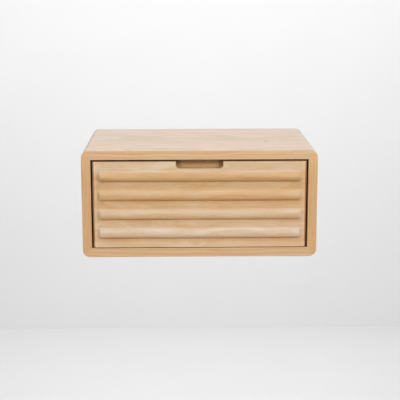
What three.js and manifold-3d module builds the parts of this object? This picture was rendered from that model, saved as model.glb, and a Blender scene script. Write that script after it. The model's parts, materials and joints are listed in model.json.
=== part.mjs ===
// Floating nightstand. A mitred wooden case hangs on a bevelled wall rail and holds one drawer on
// ball-bearing slides. The drawer front is one solid board, carved with horizontal ribs and a scooped pull.
// Millimetres. X is across, the drawer opens towards -Y, the wall is the plane y = 0, and Z is up.
// Sizes are worked out with z = 0 at the underside of the case. The whole group is lowered at the end, so
// that the origin is the middle of the wall rail's back face.

import * as THREE from 'three';
import { mergeVertices } from 'three/addons/utils/BufferGeometryUtils.js';
import Module from 'manifold-3d';

const wasm = await Module();
wasm.setup();

// Gaps between separate pieces
const glueLine = 0.1;
const seatGap = 0.2;
const runGap = 0.3;
const cutOverrun = 5;

// Case
const caseWidth = 460;
const caseDepth = 300;
const caseHeight = 212;
const boardThickness = 18;
const caseCornerRadius = 14;
const easedEdge = 0.8;

// Mitre splines
const splineThickness = 4;
const splineWidth = 12;
const splineFromCorner = 8;
const splineSetback = 40;

// Back panel
const backThickness = 6;
const backGrooveDepth = 6;

// Hanging rail and wall rail, which meet on a 45 degree bevel
const railThickness = 15;
const hangingRailHeight = 60;
const wallRailHeight = 70;
const wallRailEndPlay = 10;
const wallHoleRadius = 2.75;
const wallSinkRadius = 5.5;
const wallHoleCount = 4;
const wallHoleEndInset = 37;

// Drawer front
const frontSideGap = 2.5;
const frontTopGap = 3.2;
const frontFloorGap = 1.2;
const frontThickness = 20;
const frontSideRound = 6;
const frontLevelRound = 1.6;
const frontRoundDepth = 8;
const frontCornerRadius = 2;

// Ribs carved on the drawer front
const ribCount = 4;
const ribEdgeMargin = 18.75;
const ribHeight = 21;
const ribRise = 7;
const ribEndMargin = 9;
const ribEndRadius = 5.5;
const ribRoot = 1;

// Finger pull scooped out of the drawer front's top edge
const pullWidth = 92.5;
const pullDrop = 14.2;
const pullCornerRadius = 7.6;
const pullLip = 7;
const pullDepth = 16;
const pullUndercut = 4;
const pullEndInset = 4;

// Drawer box
const boxBoard = 12;
const boxRise = 12;
const boxHeadroom = 24;
const boxBackRoom = 8.8;
const boxBottomThickness = 6;
const boxBottomRise = 10;
const boxGrooveDepth = 6;
const tailCount = 4;
const tailSlopeShare = 1 / 7;
const tailWidthShare = 0.64;

// Ball-bearing slides
const slideSpace = 13;
const slideHeight = 45;
const slideFromFront = 2;
const slideBackRoom = 7;
const slideRise = 60;
const slideSheet = 1.2;
const slideBend = 1.2;
const slideLipGap = 0.7;
const slideHoleRadius = 2.2;
const middleSlotLength = 40;
const middleSlotHeight = 10;
const middleSlotRadius = 4;
const bumperLength = 6;
const bumperThickness = 6;
const bumperHeight = 36;
const bumperRadius = 2;

// Ball cages
const ballRadius = 1.6;
const ballPlay = 0.2;
const ballSetback = 0.7;
const ballCount = 6;
const ballPitch = 18;
const cageSheet = 0.6;
const cageLength = 110;

// Release levers on their studs in the inner slide members
const leverFromFront = 90;
const leverReach = 34;
const leverTail = 12;
const leverThickness = 2.4;
const leverArmHeight = 5;
const leverTabHeight = 9;
const leverTabLength = 12;
const leverNoseHeight = 5;
const leverNoseLength = 4;
const leverHubRadius = 4.5;
const studRadius = 1.8;
const studHeadRadius = 3;
const studHeadRise = 0.6;

// Screws
const woodScrew = { head: 4, rise: 2.2, shank: 1.9, tip: 4 };
const slideScrew = { head: 3.6, rise: 1.6, shank: 1.7, tip: 3 };
const screwHeadGap = 0.1;
const headCrownShares = [0.55, 0.92];
const headRiseShares = [1, 0.6];
const frontScrewLength = 27;
const frontScrewInset = 79;
const frontScrewRise = 32;
const frontScrewDrop = 26;
const railScrewLength = 16;
const railScrewEndInset = 46.8;
const railScrewCount = 4;
const cabinetScrewLength = 14;
const cabinetScrewShares = [0.14, 0.5, 0.86];
const drawerScrewLength = 11;
const drawerScrewShares = [0.14, 0.8];

// Steps of the rounded forms
const cornerSteps = 10;
const edgeSteps = 5;
const ribSteps = 12;
const ribEndSteps = 5;
const pullSteps = 7;
const bendSteps = 4;
const easedSteps = 2;
const boreSides = 12;
const screwSides = 12;
const ballSides = 6;
const ballRings = 4;

// Places worked out from the sizes above
const innerHalfWidth = caseWidth / 2 - boardThickness;
const openingFloor = boardThickness;
const openingTop = caseHeight - boardThickness;
const caseFrontY = -caseDepth;
const railFrontY = -railThickness;
const backPanelFrontY = railFrontY - backThickness;
const frontHalfWidth = innerHalfWidth - frontSideGap;
const frontFloor = openingFloor + frontFloorGap;
const frontTop = openingTop - frontTopGap;
const frontBackY = caseFrontY + frontThickness;
const frontMiddle = (frontFloor + frontTop) / 2;
const ribPitch = (frontTop - frontFloor - 2 * ribEdgeMargin - ribHeight) / (ribCount - 1);
const boxHalfWidth = innerHalfWidth - slideSpace;
const boxFrontY = frontBackY + seatGap;
const boxBackY = backPanelFrontY - boxBackRoom;
const boxFloor = openingFloor + boxRise;
const boxTop = openingTop - boxHeadroom;
const boxHeight = boxTop - boxFloor;
const slideAxisHeight = boxFloor + slideRise;
const slideFrontY = frontBackY + slideFromFront;
const slideBackY = backPanelFrontY - slideBackRoom;
const slideLength = slideBackY - slideFrontY;
const movingLength = slideLength - bumperLength;
const cageMiddleY = slideFrontY + movingLength / 2;
const hangingRailHalf = innerHalfWidth - seatGap;
const wallRailHalf = innerHalfWidth - wallRailEndPlay;
const bevelLowZ = openingTop - seatGap - hangingRailHeight;
const wallRailFloor = bevelLowZ - wallRailHeight;
const wallRailMiddle = wallRailFloor + wallRailHeight / 2;
const quarterTurn = Math.PI / 2;
const eighthTurn = Math.PI / 4;
const sides = [['left', -1], ['right', 1]];

// Places across a slide are measured from the case side, and heights from the slide's middle line.
// They follow from the sheet, the balls and the gaps, from the outer member's web to the drawer.
const cabinetWeb = seatGap + slideSheet / 2;
const cabinetScrewSeat = cabinetWeb + slideSheet / 2 + screwHeadGap;
const outerCageWeb = cabinetScrewSeat + slideScrew.rise + runGap + cageSheet / 2;
const middleWeb = outerCageWeb + cageSheet / 2 + runGap + slideSheet / 2;
const innerCageWeb = middleWeb + slideSheet / 2 + runGap + cageSheet / 2;
const drawerFlangeEnd = innerCageWeb + cageSheet / 2 + runGap;
const drawerWeb = slideSpace - seatGap - slideSheet / 2;
const drawerScrewSeat = drawerWeb - slideSheet / 2 - screwHeadGap;
const leverFace = drawerWeb - slideSheet / 2 - runGap;
const outerBall = outerCageWeb + cageSheet / 2 + ballSetback + ballRadius;
const innerBall = innerCageWeb + cageSheet / 2 + ballSetback + ballRadius;
const lipOffset = ballRadius + runGap + slideSheet / 2;
const raceStep = slideSheet / 2 + ballPlay + ballRadius;
const cabinetFlange = slideHeight / 2 - slideSheet / 2;
const outerBallHeight = cabinetFlange - raceStep;
const middleFlange = outerBallHeight - raceStep;
const innerBallHeight = middleFlange - raceStep;
const drawerFlange = innerBallHeight - raceStep;

// Materials
const wood = (color) => new THREE.MeshStandardMaterial({ color, roughness: 0.55, metalness: 0 });
const caseWood = wood('#d8b285');
const frontWood = wood('#dcb88a');
const railWood = wood('#c9a476');
const boxWood = wood('#dcc39c');
const plywood = wood('#d3b78d');
const splineWood = wood('#b98f5e');
const zincSteel = new THREE.MeshStandardMaterial({ color: '#b8bcc1', roughness: 0.35, metalness: 1 });
const screwSteel = new THREE.MeshStandardMaterial({ color: '#9ea2a7', roughness: 0.3, metalness: 1 });
const cageSteel = new THREE.MeshStandardMaterial({ color: '#c6c9cc', roughness: 0.25, metalness: 1 });
const rubber = new THREE.MeshStandardMaterial({ color: '#2a2b2d', roughness: 0.85, metalness: 0 });
const leverPlastic = new THREE.MeshStandardMaterial({ color: '#1f2022', roughness: 0.5, metalness: 0 });

// A closed geometry as a solid that can be cut and joined
function solidOf(geometry) {
  const bare = geometry.clone();
  bare.deleteAttribute('normal');
  bare.deleteAttribute('uv');
  const merged = mergeVertices(bare);
  return new wasm.Manifold(new wasm.Mesh({
    numProp: 3,
    vertProperties: merged.attributes.position.array,
    triVerts: new Uint32Array(merged.index.array),
  }));
}

// A cut or joined solid as a geometry again
function geometryOf(solid) {
  const mesh = solid.getMesh();
  const indexed = new THREE.BufferGeometry();
  indexed.setAttribute('position', new THREE.BufferAttribute(mesh.vertProperties, 3));
  indexed.setIndex(new THREE.BufferAttribute(mesh.triVerts, 1));
  const geometry = indexed.toNonIndexed();
  geometry.computeVertexNormals();
  return geometry;
}

function cut(geometry, cutters) {
  return geometryOf(cutters.reduce((solid, cutter) => solid.subtract(solidOf(cutter)), solidOf(geometry)));
}

function join(geometries) {
  const [first, ...rest] = geometries.map(solidOf);
  return geometryOf(rest.reduce((solid, next) => solid.add(next), first));
}

function box(xRange, yRange, zRange) {
  const [width, depth, height] = [xRange, yRange, zRange].map(([low, high]) => high - low);
  const [x, y, z] = [xRange, yRange, zRange].map(([low, high]) => (low + high) / 2);
  return new THREE.BoxGeometry(width, depth, height).translate(x, y, z);
}

function grown([low, high], by) {
  return [low - by, high + by];
}

function outline(points) {
  return new THREE.Shape(points.map(([u, v]) => new THREE.Vector2(u, v)));
}

// An outline drawn in X and Z, extruded along Y
function alongY(shape, [yFront, yBack]) {
  const geometry = new THREE.ExtrudeGeometry(shape, { depth: yBack - yFront, bevelEnabled: false });
  return geometry.rotateX(quarterTurn).translate(0, yBack, 0);
}

// An outline drawn in Y and Z, extruded along X
function alongX(shape, [xLow, xHigh]) {
  const geometry = new THREE.ExtrudeGeometry(shape, { depth: xHigh - xLow, bevelEnabled: false });
  const turn = new THREE.Matrix4().set(0, 0, 1, 0, 1, 0, 0, 0, 0, 1, 0, 0, 0, 0, 0, 1);
  return geometry.applyMatrix4(turn).translate(xLow, 0, 0);
}

// The corners of a rectangle whose corners are rounded, counterclockwise
function roundedRectangle([uLow, uHigh], [vLow, vHigh], radius, steps) {
  const corners = [[uHigh, vHigh, 0], [uLow, vHigh, 1], [uLow, vLow, 2], [uHigh, vLow, 3]];
  return corners.flatMap(([u, v, quarter]) => {
    const centreU = u === uHigh ? u - radius : u + radius;
    const centreV = v === vHigh ? v - radius : v + radius;
    return Array.from({ length: steps + 1 }, (_, step) => {
      const angle = quarterTurn * (quarter + step / steps);
      return [centreU + radius * Math.cos(angle), centreV + radius * Math.sin(angle)];
    });
  });
}

// A closed body through rings of points, with flat ends. The rings have convex outlines and equal counts,
// and run counterclockwise as seen from the first ring's end.
function loft(rings) {
  const count = rings[0].length;
  const positions = rings.flat().flatMap((point) => point.toArray());
  const index = [];
  for (let ring = 0; ring + 1 < rings.length; ring += 1) {
    for (let point = 0; point < count; point += 1) {
      const here = ring * count + point;
      const next = ring * count + (point + 1) % count;
      index.push(here, here + count, next, next, here + count, next + count);
    }
  }
  const last = (rings.length - 1) * count;
  for (let point = 1; point + 1 < count; point += 1) {
    index.push(0, point, point + 1, last, last + point + 1, last + point);
  }
  const geometry = new THREE.BufferGeometry();
  geometry.setAttribute('position', new THREE.Float32BufferAttribute(positions, 3));
  geometry.setIndex(index);
  geometry.computeVertexNormals();
  return geometry;
}

// A round bar or hole along the Y axis, centred on the origin
function round(radius, length) {
  return new THREE.CylinderGeometry(radius, radius, length, boreSides);
}

// A round bar or hole along X, at a place in Y and Z
function roundAlongX(radius, [xLow, xHigh], y, z) {
  return round(radius, xHigh - xLow).rotateZ(quarterTurn).translate((xLow + xHigh) / 2, y, z);
}

// The range in X between two distances from the case side on the left, -1, or the right, 1
function across(side, near, far) {
  const ends = [side * (innerHalfWidth - near), side * (innerHalfWidth - far)];
  return [Math.min(...ends), Math.max(...ends)];
}

function placed(name, geometry, material) {
  const mesh = new THREE.Mesh(geometry, material);
  mesh.name = name;
  return mesh;
}

// Case boards
// One ring with eased edges is divided along the mitres, so that the four boards line up all round.
function caseRing() {
  const halfWidth = caseWidth / 2;
  const outer = roundedRectangle([-halfWidth, halfWidth], [0, caseHeight], caseCornerRadius, cornerSteps);
  const shape = outline(outer);
  shape.holes.push(outline([
    [-innerHalfWidth, openingFloor],
    [innerHalfWidth, openingFloor],
    [innerHalfWidth, openingTop],
    [-innerHalfWidth, openingTop],
  ]));
  const geometry = new THREE.ExtrudeGeometry(shape, {
    depth: caseDepth - 2 * easedEdge,
    bevelThickness: easedEdge,
    bevelSize: easedEdge,
    bevelOffset: -easedEdge,
    bevelSegments: easedSteps,
  });
  return solidOf(geometry.rotateX(quarterTurn).translate(0, -easedEdge, 0));
}

// The space of one board between its two mitres, half a glue line short of each
function boardSpace(place) {
  const back = glueLine / Math.SQRT2;
  const edge = (outset) => {
    const x = caseWidth / 2 + outset;
    const [low, high] = grown([0, caseHeight], outset);
    const ends = {
      top: [[back - x, high], [x - back, high]],
      bottom: [[back - x, low], [x - back, low]],
      left: [[-x, low + back], [-x, high - back]],
      right: [[x, low + back], [x, high - back]],
    };
    return ends[place];
  };
  const corners = [...edge(cutOverrun), ...edge(-boardThickness - cutOverrun).reverse()];
  return alongY(outline(corners), grown([caseFrontY, 0], cutOverrun));
}

// A stopped loose tongue that crosses the mitre of one corner
function spline(sideX, sideZ, clearance) {
  const along = splineFromCorner / Math.SQRT2;
  const cornerZ = sideZ > 0 ? openingTop : openingFloor;
  const length = caseDepth - 2 * splineSetback + 2 * clearance;
  return new THREE.BoxGeometry(splineWidth + 2 * clearance, length, splineThickness + 2 * clearance)
    .rotateY(sideX * sideZ * eighthTurn)
    .translate(sideX * (innerHalfWidth + along), -caseDepth / 2, cornerZ + sideZ * along);
}

function splineCorners() {
  return sides.flatMap(([nameX, sideX]) => [['top', 1], ['bottom', -1]].map(([nameZ, sideZ]) => ({
    name: `mitre_spline_${nameZ}_${nameX}`,
    sideX,
    sideZ,
  })));
}

function backPanelBlock(clearance) {
  const reach = backGrooveDepth - seatGap + clearance;
  return box(
    grown([-innerHalfWidth, innerHalfWidth], reach),
    grown([backPanelFrontY, railFrontY], clearance),
    grown([openingFloor, openingTop], reach),
  );
}

function slidePlaces(shares) {
  return shares.map((share) => slideFrontY + slideLength * share);
}

function cabinetScrewBores(side) {
  const range = across(side, cabinetScrewSeat - cabinetScrewLength - seatGap, cutOverrun);
  return slidePlaces(cabinetScrewShares)
    .map((y) => roundAlongX(slideScrew.shank + seatGap, range, y, slideAxisHeight));
}

function caseBoards() {
  const ring = caseRing();
  const slots = splineCorners().map(({ sideX, sideZ }) => spline(sideX, sideZ, seatGap));
  const groove = backPanelBlock(seatGap);
  const boards = [
    ['top_panel', 'top', []],
    ['bottom_panel', 'bottom', []],
    ['left_side', 'left', cabinetScrewBores(-1)],
    ['right_side', 'right', cabinetScrewBores(1)],
  ];
  return boards.map(([name, place, bores]) => {
    const board = geometryOf(ring.intersect(solidOf(boardSpace(place))));
    return placed(name, cut(board, [groove, ...slots, ...bores]), caseWood);
  });
}

function mitreSplines() {
  return splineCorners().map(({ name, sideX, sideZ }) => placed(name, spline(sideX, sideZ, 0), splineWood));
}

// Back panel and the two rails behind it
function evenPlaces(count, pitch) {
  return Array.from({ length: count }, (_, step) => (step - (count - 1) / 2) * pitch);
}

// Even places along a rail, the outer ones an inset from its two ends
function placesAlong(half, inset, count) {
  return evenPlaces(count, (2 * (half - inset)) / (count - 1));
}

function railScrewPlaces() {
  return placesAlong(hangingRailHalf, railScrewEndInset, railScrewCount);
}

function railScrewHeight() {
  return openingTop - hangingRailHeight / 2;
}

function railScrewBores(radius) {
  const length = 2 * railScrewLength + 2 * seatGap;
  return railScrewPlaces().map((x) => round(radius, length).translate(x, backPanelFrontY, railScrewHeight()));
}

function backPanel() {
  return placed('back_panel', cut(backPanelBlock(0), railScrewBores(woodScrew.shank + seatGap)), plywood);
}

function hangingRail() {
  const top = openingTop - seatGap;
  const front = railFrontY + seatGap;
  const shape = outline([[front, top], [0, top], [0, bevelLowZ], [front, bevelLowZ - front]]);
  const rail = alongX(shape, [-hangingRailHalf, hangingRailHalf]);
  return placed('hanging_rail', cut(rail, railScrewBores(woodScrew.shank + seatGap)), railWood);
}

// A countersunk through hole for a wall screw, whose head lies in the rail's front face
function wallHole(x, z) {
  const sink = wallSinkRadius - wallHoleRadius;
  const face = railFrontY + seatGap;
  const profile = [
    [0, cutOverrun],
    [wallHoleRadius, cutOverrun],
    [wallHoleRadius, face + sink],
    [wallSinkRadius, face],
    [wallSinkRadius, face - cutOverrun],
    [0, face - cutOverrun],
  ];
  const points = profile.map(([r, y]) => new THREE.Vector2(r, y)).reverse();
  return new THREE.LatheGeometry(points, boreSides).translate(x, 0, z);
}

function wallRail() {
  const front = railFrontY + seatGap;
  const drop = runGap * Math.SQRT2;
  const shape = outline([
    [0, wallRailFloor],
    [0, bevelLowZ - drop],
    [front, bevelLowZ - drop - front],
    [front, wallRailFloor],
  ]);
  const holes = placesAlong(wallRailHalf, wallHoleEndInset, wallHoleCount)
    .map((x) => wallHole(x, wallRailMiddle));
  return placed('wall_rail', cut(alongX(shape, [-wallRailHalf, wallRailHalf]), holes), railWood);
}

// A pan-head screw along the Y axis. Its head's seat is at y = 0 and its shank runs towards -Y.
function screw({ head, rise, shank, tip }, length) {
  const profile = [
    [0, rise],
    ...headCrownShares.map((share, step) => [head * share, rise * headRiseShares[step]]),
    [head, 0],
    [shank, 0],
    [shank, tip - length],
    [0, -length],
  ];
  const points = profile.map(([r, y]) => new THREE.Vector2(r, y)).reverse();
  return new THREE.LatheGeometry(points, screwSides);
}

function railScrews() {
  const seat = backPanelFrontY - screwHeadGap;
  return railScrewPlaces().map((x, step) => placed(
    `hanging_rail_screw_${step + 1}`,
    screw(woodScrew, railScrewLength).rotateX(2 * quarterTurn).translate(x, seat, railScrewHeight()),
    screwSteel,
  ));
}

// Drawer front
// Rings of the same rounded rectangle form the board, drawn in where its front edges are rounded. The two
// ends are rounded more than the long edges.
function frontRing(inset, depth) {
  return roundedRectangle(
    grown([-frontHalfWidth, frontHalfWidth], -frontSideRound * inset),
    grown([frontFloor, frontTop], -frontLevelRound * inset),
    frontCornerRadius,
    edgeSteps,
  ).map(([x, z]) => new THREE.Vector3(x, caseFrontY + depth, z));
}

function frontBoard() {
  const rounded = Array.from({ length: edgeSteps + 1 }, (_, step) => {
    const angle = (quarterTurn * step) / edgeSteps;
    return frontRing(1 - Math.sin(angle), frontRoundDepth * (1 - Math.cos(angle)));
  });
  return loft([...rounded, frontRing(0, frontThickness)]);
}

// One rib's section: a circular segment, drawn as shares of its half height and of its rise
function ribSection() {
  const radius = (ribHeight ** 2 / 4 + ribRise ** 2) / (2 * ribRise);
  const widest = Math.asin(ribHeight / 2 / radius);
  return Array.from({ length: ribSteps + 1 }, (_, step) => {
    const angle = widest * ((2 * step) / ribSteps - 1);
    const riseShare = (Math.cos(angle) - Math.cos(widest)) / (1 - Math.cos(widest));
    return { heightShare: Math.sin(angle) / Math.sin(widest), riseShare };
  });
}

// A ring of the rib at x. At an end the half height follows the end radius and the rise falls to nothing.
function ribRing(x, z, turn) {
  const half = ribHeight / 2 - ribEndRadius * (1 - Math.sin(turn));
  const rise = ribRise * Math.sin(turn);
  const arc = ribSection().map(({ heightShare, riseShare }) => (
    new THREE.Vector3(x, caseFrontY - rise * riseShare, z + half * heightShare)
  ));
  const root = caseFrontY + ribRoot;
  return [new THREE.Vector3(x, root, z - half), ...arc, new THREE.Vector3(x, root, z + half)];
}

function rib(z) {
  const halfLength = frontHalfWidth - ribEndMargin;
  const turns = Array.from({ length: ribEndSteps + 1 }, (_, step) => (quarterTurn * step) / ribEndSteps);
  const reach = (turn) => halfLength - ribEndRadius * (1 - Math.cos(turn));
  const leftEnd = turns.map((turn) => ribRing(-reach(turn), z, turn));
  const rightEnd = turns.map((turn) => ribRing(reach(turn), z, turn)).reverse();
  return loft([...leftEnd, ...rightEnd]);
}

// The pull's hollow: straight through the lip, then undercut behind it and drawn in at both ends
function pullRing(depth, inset, drop) {
  const half = pullWidth / 2 - inset;
  const floor = frontTop - pullDrop - drop;
  return roundedRectangle([-half, half], [floor, frontTop + pullDrop], pullCornerRadius, edgeSteps)
    .map(([x, z]) => new THREE.Vector3(x, caseFrontY + depth, z));
}

function pullHollow() {
  const scooped = Array.from({ length: pullSteps + 1 }, (_, step) => {
    const share = step / pullSteps;
    const depth = pullLip + (pullDepth - pullLip) * share;
    const inset = pullEndInset * (1 - Math.cos(quarterTurn * share));
    return pullRing(depth, inset, pullUndercut * Math.sin(2 * quarterTurn * share));
  });
  return loft([pullRing(-cutOverrun, 0, 0), ...scooped]);
}

function frontScrewPlaces() {
  const heights = [boxFloor + frontScrewRise, boxTop - frontScrewDrop];
  return sides.flatMap(([, side]) => heights.map((z) => ({ x: side * (boxHalfWidth - frontScrewInset), z })));
}

function frontScrewBores() {
  const length = frontScrewLength + seatGap + cutOverrun;
  const seat = boxFrontY + boxBoard;
  return frontScrewPlaces().map(({ x, z }) => (
    round(woodScrew.shank + seatGap, length).translate(x, seat - frontScrewLength - seatGap + length / 2, z)
  ));
}

function drawerFront() {
  const ribs = evenPlaces(ribCount, ribPitch).map((offset) => rib(frontMiddle + offset));
  const carved = join([frontBoard(), ...ribs]);
  return placed('drawer_front', cut(carved, [pullHollow(), ...frontScrewBores()]), frontWood);
}

// Drawer box
// Tails on the sides lock between pins on the box front and back. They widen towards each end.
function tailHalfWidths(clearance) {
  const wide = (boxHeight / tailCount) * (tailWidthShare / 2);
  return { wide: wide + clearance, narrow: wide - boxBoard * tailSlopeShare + clearance };
}

function tailHeights() {
  return evenPlaces(tailCount, boxHeight / tailCount).map((offset) => boxFloor + boxHeight / 2 + offset);
}

function sideShape() {
  const { wide, narrow } = tailHalfWidths(0);
  const frontShoulder = boxFrontY + boxBoard + glueLine;
  const backShoulder = boxBackY - boxBoard - glueLine;
  const heights = tailHeights();
  const backEdge = heights.flatMap((z) => [
    [backShoulder, z - narrow],
    [boxBackY, z - wide],
    [boxBackY, z + wide],
    [backShoulder, z + narrow],
  ]);
  const frontEdge = [...heights].reverse().flatMap((z) => [
    [frontShoulder, z + narrow],
    [boxFrontY, z + wide],
    [boxFrontY, z - wide],
    [frontShoulder, z - narrow],
  ]);
  return outline([
    [backShoulder, boxFloor],
    ...backEdge,
    [backShoulder, boxTop],
    [frontShoulder, boxTop],
    ...frontEdge,
    [frontShoulder, boxFloor],
  ]);
}

function drawerBottomBlock(clearance) {
  const reach = boxGrooveDepth - seatGap + clearance;
  const inner = boxHalfWidth - boxBoard;
  const floor = boxFloor + boxBottomRise;
  return box(
    grown([-inner, inner], reach),
    grown([boxFrontY + boxBoard, boxBackY - boxBoard], reach),
    grown([floor, floor + boxBottomThickness], clearance),
  );
}

function drawerScrewBores(side) {
  const range = across(side, slideSpace - cutOverrun, drawerScrewSeat + drawerScrewLength + seatGap);
  return slidePlaces(drawerScrewShares)
    .map((y) => roundAlongX(slideScrew.shank + seatGap, range, y, slideAxisHeight));
}

function drawerSide(name, side) {
  const board = alongX(sideShape(), across(side, slideSpace, slideSpace + boxBoard));
  return placed(name, cut(board, [drawerBottomBlock(seatGap), ...drawerScrewBores(side)]), boxWood);
}

// The sockets that the tails of both sides leave in a board whose outer face is at outerY
function tailSockets(outerY, innerY) {
  const { wide, narrow } = tailHalfWidths(glueLine);
  const outward = outerY > innerY ? cutOverrun : -cutOverrun;
  const beyond = cutOverrun * tailSlopeShare;
  const depth = innerY - (outerY > innerY ? glueLine : -glueLine);
  return tailHeights().flatMap((z) => sides.map(([, side]) => {
    const shape = outline([
      [depth, z - narrow],
      [outerY + outward, z - wide - beyond],
      [outerY + outward, z + wide + beyond],
      [depth, z + narrow],
    ]);
    return alongX(shape, across(side, slideSpace - cutOverrun, slideSpace + boxBoard + glueLine));
  }));
}

function boxEnd(name, outerY, innerY, bores) {
  const yRange = [Math.min(outerY, innerY), Math.max(outerY, innerY)];
  const board = box([-boxHalfWidth, boxHalfWidth], yRange, [boxFloor, boxTop]);
  const cutters = [...tailSockets(outerY, innerY), drawerBottomBlock(seatGap), ...bores];
  return placed(name, cut(board, cutters), boxWood);
}

function drawerBox() {
  return [
    boxEnd('drawer_box_front', boxFrontY, boxFrontY + boxBoard, frontScrewBores()),
    boxEnd('drawer_box_back', boxBackY, boxBackY - boxBoard, []),
    drawerSide('drawer_left_side', -1),
    drawerSide('drawer_right_side', 1),
    placed('drawer_bottom', drawerBottomBlock(0), plywood),
  ];
}

function frontScrews() {
  const seat = boxFrontY + boxBoard + screwHeadGap;
  return frontScrewPlaces().map(({ x, z }, step) => placed(
    `front_screw_${step + 1}`,
    screw(woodScrew, frontScrewLength).translate(x, seat, z),
    screwSteel,
  ));
}

// Slides
// The outline of bent sheet along a centre line with rounded bends
function bentSheet(points, thickness, bend) {
  const line = points.map(([u, v]) => new THREE.Vector2(u, v));
  const path = [line[0]];
  for (let corner = 1; corner + 1 < line.length; corner += 1) {
    const before = line[corner - 1].clone().sub(line[corner]).normalize();
    const after = line[corner + 1].clone().sub(line[corner]).normalize();
    const centre = line[corner].clone().addScaledVector(before, bend).addScaledVector(after, bend);
    for (let step = 0; step <= bendSteps; step += 1) {
      const angle = (quarterTurn * step) / bendSteps;
      path.push(centre.clone()
        .addScaledVector(after, -bend * Math.cos(angle))
        .addScaledVector(before, -bend * Math.sin(angle)));
    }
  }
  path.push(line[line.length - 1]);
  const edge = (offset) => path.map((point, step) => {
    const from = path[Math.max(step - 1, 0)];
    const to = path[Math.min(step + 1, path.length - 1)];
    const along = to.clone().sub(from).normalize();
    return [point.x - along.y * offset, point.y + along.x * offset];
  });
  return [...edge(thickness / 2), ...edge(-thickness / 2).reverse()];
}

// A slide member: a centre line across the slide, extruded between two places along Y
function slideMember(side, points, thickness, bend, yRange) {
  const section = bentSheet(points, thickness, bend)
    .map(([across, height]) => [side * (innerHalfWidth - across), slideAxisHeight + height]);
  return alongY(outline(section), yRange);
}

// Round holes through a member's web
function webBores(side, web, shares) {
  const range = across(side, web - slideSheet, web + slideSheet);
  return slidePlaces(shares).map((y) => roundAlongX(slideHoleRadius, range, y, slideAxisHeight));
}

// Long holes through the middle member's web, which let a driver reach the screws behind it
function webSlots(side) {
  const range = across(side, middleWeb - slideSheet, middleWeb + slideSheet);
  const height = grown([slideAxisHeight, slideAxisHeight], middleSlotHeight / 2);
  return slidePlaces(cabinetScrewShares).map((y) => {
    const length = grown([y, y], middleSlotLength / 2);
    return alongX(outline(roundedRectangle(length, height, middleSlotRadius, edgeSteps)), range);
  });
}

function cabinetSlide(side) {
  const lip = outerBall + lipOffset;
  const lipEnd = middleFlange + slideSheet / 2 + slideLipGap;
  const line = [
    [lip, lipEnd],
    [lip, cabinetFlange],
    [cabinetWeb, cabinetFlange],
    [cabinetWeb, -cabinetFlange],
    [lip, -cabinetFlange],
    [lip, -lipEnd],
  ];
  const member = slideMember(side, line, slideSheet, slideBend, [slideFrontY, slideBackY]);
  return cut(member, webBores(side, cabinetWeb, cabinetScrewShares));
}

function middleSlide(side) {
  const lip = innerBall + lipOffset;
  const lipEnd = drawerFlange + slideSheet / 2 + slideLipGap;
  const line = [
    [lip, lipEnd],
    [lip, middleFlange],
    [middleWeb, middleFlange],
    [middleWeb, -middleFlange],
    [lip, -middleFlange],
    [lip, -lipEnd],
  ];
  const member = slideMember(side, line, slideSheet, slideBend, [slideFrontY, slideFrontY + movingLength]);
  return cut(member, webSlots(side));
}

// The stud that a release lever turns on, headed on the side of the case
function leverStud(side) {
  const y = slideFrontY + leverFromFront;
  const headFace = leverFace - leverThickness - runGap;
  const shankRange = across(side, headFace - studHeadRise / 2, drawerWeb);
  const headRange = across(side, headFace - studHeadRise, headFace);
  return join([
    roundAlongX(studRadius, shankRange, y, slideAxisHeight),
    roundAlongX(studHeadRadius, headRange, y, slideAxisHeight),
  ]);
}

function drawerSlide(side) {
  const line = [
    [drawerFlangeEnd, drawerFlange],
    [drawerWeb, drawerFlange],
    [drawerWeb, -drawerFlange],
    [drawerFlangeEnd, -drawerFlange],
  ];
  const member = slideMember(side, line, slideSheet, slideBend, [slideFrontY, slideFrontY + movingLength]);
  return join([cut(member, webBores(side, drawerWeb, drawerScrewShares)), leverStud(side)]);
}

// A lever with a finger tab in front, a latch nose behind and a hub round its stud
function releaseLever(side) {
  const pivotY = slideFrontY + leverFromFront;
  const tabHalf = leverTabHeight / 2;
  const armHalf = leverArmHeight / 2;
  const tabEnd = leverTabLength - leverReach;
  const neck = tabEnd + tabHalf - armHalf;
  const points = [
    [-leverReach, -tabHalf],
    [tabEnd, -tabHalf],
    [neck, -armHalf],
    [leverTail, -armHalf],
    [leverTail, leverNoseHeight],
    [leverTail - leverNoseLength, armHalf],
    [neck, armHalf],
    [tabEnd, tabHalf],
    [-leverReach, tabHalf],
  ];
  const shape = outline(points.map(([y, z]) => [pivotY + y, slideAxisHeight + side * z]));
  const range = across(side, leverFace - leverThickness, leverFace);
  const hub = roundAlongX(leverHubRadius, range, pivotY, slideAxisHeight);
  const hole = roundAlongX(studRadius + runGap, grown(range, cutOverrun), pivotY, slideAxisHeight);
  return cut(join([alongX(shape, range), hub]), [hole]);
}

// A cage of thin sheet that holds one row of balls above and one below
function ballCage(side, web, ballAcross, ballHeight) {
  const end = ballAcross + ballRadius;
  const line = [[end, ballHeight], [web, ballHeight], [web, -ballHeight], [end, -ballHeight]];
  const yRange = grown([cageMiddleY, cageMiddleY], cageLength / 2);
  const strip = slideMember(side, line, cageSheet, slideBend, yRange);
  const x = side * (innerHalfWidth - ballAcross);
  const balls = evenPlaces(ballCount, ballPitch).flatMap((offset) => [-1, 1].map((level) => (
    new THREE.SphereGeometry(ballRadius, ballSides, ballRings)
      .translate(x, cageMiddleY + offset, slideAxisHeight + level * ballHeight)
  )));
  return join([strip, ...balls]);
}

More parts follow.
